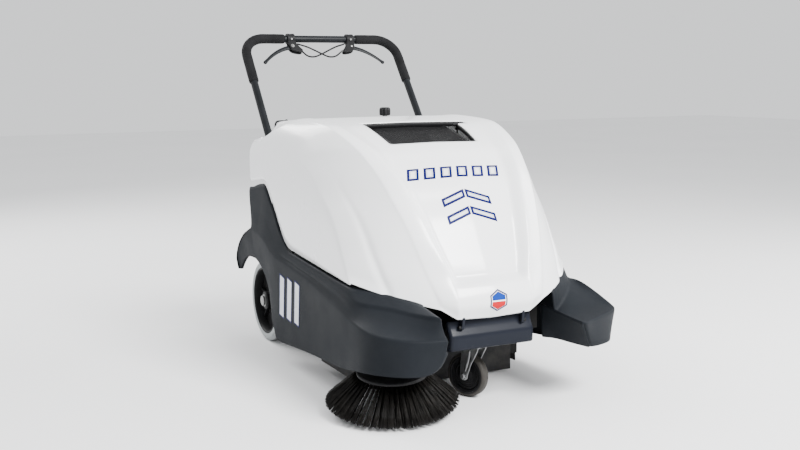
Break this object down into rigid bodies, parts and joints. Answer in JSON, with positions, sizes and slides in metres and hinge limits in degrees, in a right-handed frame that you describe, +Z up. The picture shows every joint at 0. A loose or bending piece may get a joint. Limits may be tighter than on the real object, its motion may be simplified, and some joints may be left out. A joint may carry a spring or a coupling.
{
  "type": "walk behind sweeper",
  "caption": "Petrol walk behind sweeper with a tilting engine hood, side fairings, side brush, main brush, rear hopper, front caster, rear wheels and a tubular push handle.",
  "frame": {"origin": "on the floor, under the middle of the whole machine's box", "axes": "+Z up, -Y to the front, +Y to the operator, +X to the machine's left side"},
  "size_m": [0.8188, 1.348, 1.039],
  "materials": {
    "hood_white": "gloss",
    "fairing_grey": "fine grained",
    "bumper_paint": "satin",
    "frame_black": "semi matt",
    "tube_black": "satin",
    "foam_black": "foam",
    "plastic_black": "matt",
    "steel": "zinc plated",
    "chrome": "polished",
    "engine_alloy": "cast",
    "engine_iron": "cast",
    "rubber_black": "matt",
    "tyre_grey": "non marking",
    "caster_tread": "matt",
    "bristle_black": "fibre",
    "bristle_main": "fibre",
    "filter_paper": "pleated",
    "cable_black": "satin",
    "cap_red": "matt"
  },
  "bodies": {
    "root": {"chassis_frame": "frame_black", "front_bumper": "bumper_paint", "rear_panel": "fairing_grey", "brush_tunnel": "frame_black", "engine_plate": "frame_black", "handle_brackets": "frame_black", "caster_plate": "steel", "engine_block": "engine_alloy", "engine_shroud": "plastic_black", "fuel_tank": "plastic_black", "muffler": "engine_iron", "air_cleaner": "plastic_black", "fan_housing": "plastic_black", "panel_filter": "filter_paper", "gearbox": "engine_alloy", "starter_guide": "frame_black", "bearings": "engine_iron", "hopper_rails": "steel", "frame_bolts": "steel", "fairing_right": "fairing_grey", "fairing_left": "fairing_grey", "cross_flaps": "rubber_black", "side_flaps": "rubber_black", "brush_belt": "rubber_black", "fan_belt": "rubber_black", "drive_chain": "steel"},
    "hood": {"hood_shell": "hood_white", "intake_grille": "plastic_black", "hood_hinge": "steel"},
    "handle": {"handlebar": "tube_black", "grip_right": "foam_black", "grip_left": "foam_black", "lever_clamp_right": "plastic_black", "lever_clamp_left": "plastic_black", "control_cables": "cable_black"},
    "clutch_lever_right": {"lever_right": "tube_black"},
    "clutch_lever_left": {"lever_left": "tube_black"},
    "caster_swivel": {"caster_fork": "chrome"},
    "caster_wheel": {"caster_tyre": "caster_tread", "caster_hub": "plastic_black"},
    "drive_axle": {"rear_axle": "steel", "axle_sprocket": "steel", "rim_right": "plastic_black", "tyre_right": "tyre_grey"},
    "left_wheel": {"rim_left": "plastic_black", "tyre_left": "tyre_grey"},
    "main_brush": {"brush_core": "plastic_black", "brush_bristles": "bristle_main"},
    "crank": {"crank_pulleys": "engine_iron"},
    "fan": {"fan_impeller": "plastic_black"},
    "gearbox_output": {"gearbox_pinion": "steel"},
    "side_arm": {"side_brush_arm": "frame_black"},
    "side_brush": {"side_brush_disc": "plastic_black", "side_brush_bristles": "bristle_black"},
    "hopper": {"hopper_bin": "fairing_grey"},
    "latch": {"hopper_latch": "steel"},
    "throttle": {"throttle_lever": "tube_black"},
    "shaker": {"shaker_knob": "plastic_black"},
    "starter": {"starter_grip": "plastic_black"},
    "tank_cap": {"fuel_cap": "cap_red"}
  },
  "joints": [
    {"name": "hood_tilt", "type": "hinge", "parent": "root", "child": "hood", "pos_m": [0.02741, -0.541, 0.232], "axis": [1, 0, 0], "range_deg": [0, 66]},
    {"name": "handle_tilt", "type": "hinge", "parent": "root", "child": "handle", "pos_m": [0.02741, 0.361, 0.645], "axis": [-1, 0, 0], "range_deg": [0, 24]},
    {"name": "lever_right_squeeze", "type": "hinge", "parent": "handle", "child": "clutch_lever_right", "pos_m": [-0.08558, 0.63652, 0.99028], "axis": [0, 0.8492, -0.5281], "range_deg": [0, 26], "stiffness_Nm_per_rad": 1, "springref_deg": -17.19},
    {"name": "lever_left_squeeze", "type": "hinge", "parent": "handle", "child": "clutch_lever_left", "pos_m": [0.14042, 0.63652, 0.99028], "axis": [0, -0.8492, 0.5281], "range_deg": [0, 26], "stiffness_Nm_per_rad": 1, "springref_deg": -17.19},
    {"name": "caster_swivel_turn", "type": "hinge", "parent": "root", "child": "caster_swivel", "pos_m": [0.03141, -0.441, 0.15], "axis": [0, 0, 1], "continuous": true},
    {"name": "caster_roll", "type": "hinge", "parent": "caster_swivel", "child": "caster_wheel", "pos_m": [0.02177, -0.42123, 0.0625], "axis": [0.8988, 0.4384, 0], "continuous": true},
    {"name": "drive_axle_spin", "type": "hinge", "parent": "root", "child": "drive_axle", "pos_m": [0.02741, 0.448, 0.1365], "axis": [1, 0, 0], "continuous": true},
    {"name": "left_wheel_spin", "type": "hinge", "parent": "drive_axle", "child": "left_wheel", "pos_m": [0.30441, 0.448, 0.1365], "axis": [1, 0, 0], "continuous": true},
    {"name": "main_brush_spin", "type": "hinge", "parent": "root", "child": "main_brush", "pos_m": [0.02741, -0.111, 0.132], "axis": [1, 0, 0], "continuous": true},
    {"name": "crank_spin", "type": "hinge", "parent": "root", "child": "crank", "pos_m": [0.18741, -0.031, 0.45], "axis": [1, 0, 0], "continuous": true},
    {"name": "fan_spin", "type": "hinge", "parent": "root", "child": "fan", "pos_m": [0.12742, 0.199, 0.48], "axis": [1, 0, 0], "continuous": true},
    {"name": "gearbox_pinion_spin", "type": "hinge", "parent": "root", "child": "gearbox_output", "pos_m": [0.22742, 0.304, 0.415], "axis": [1, 0, 0], "continuous": true},
    {"name": "side_arm_lift", "type": "hinge", "parent": "root", "child": "side_arm", "pos_m": [-0.22659, -0.286, 0.235], "axis": [-1, 0, 0], "range_deg": [0, 8]},
    {"name": "side_brush_spin", "type": "hinge", "parent": "side_arm", "child": "side_brush", "pos_m": [-0.22759, -0.448, 0.01958], "axis": [-0.0432, -0.0894, 0.9951], "continuous": true},
    {"name": "hopper_slide", "type": "slide", "parent": "root", "child": "hopper", "axis": [0, 1, 0], "range_m": [0, 0.42]},
    {"name": "latch_turn", "type": "hinge", "parent": "root", "child": "latch", "pos_m": [0.13742, 0.474, 0.348], "axis": [0, 1, 0], "range_deg": [0, 90]},
    {"name": "throttle_turn", "type": "hinge", "parent": "root", "child": "throttle", "pos_m": [-0.22559, 0.429, 0.7], "axis": [1, 0, 0], "range_deg": [-20, 30]},
    {"name": "shaker_pull", "type": "slide", "parent": "root", "child": "shaker", "axis": [0, 0, 1], "range_m": [0, 0.03], "stiffness_N_per_m": 150, "springref_m": -0.02},
    {"name": "starter_pull", "type": "slide", "parent": "root", "child": "starter", "axis": [0, 0, 1], "range_m": [0, 0.11], "stiffness_N_per_m": 40, "springref_m": -0.05},
    {"name": "tank_cap_turn", "type": "hinge", "parent": "root", "child": "tank_cap", "pos_m": [0.14741, 0.107, 0.65], "axis": [0, 0, 1], "range_deg": [0, 90]}
  ],
  "couplings": [
    {"joint": "crank_spin", "follows": "main_brush_spin", "ratio": 1.5},
    {"joint": "fan_spin", "follows": "main_brush_spin", "ratio": 2.25},
    {"joint": "side_brush_spin", "follows": "main_brush_spin", "ratio": -0.25},
    {"joint": "gearbox_pinion_spin", "follows": "drive_axle_spin", "ratio": 2}
  ]
}
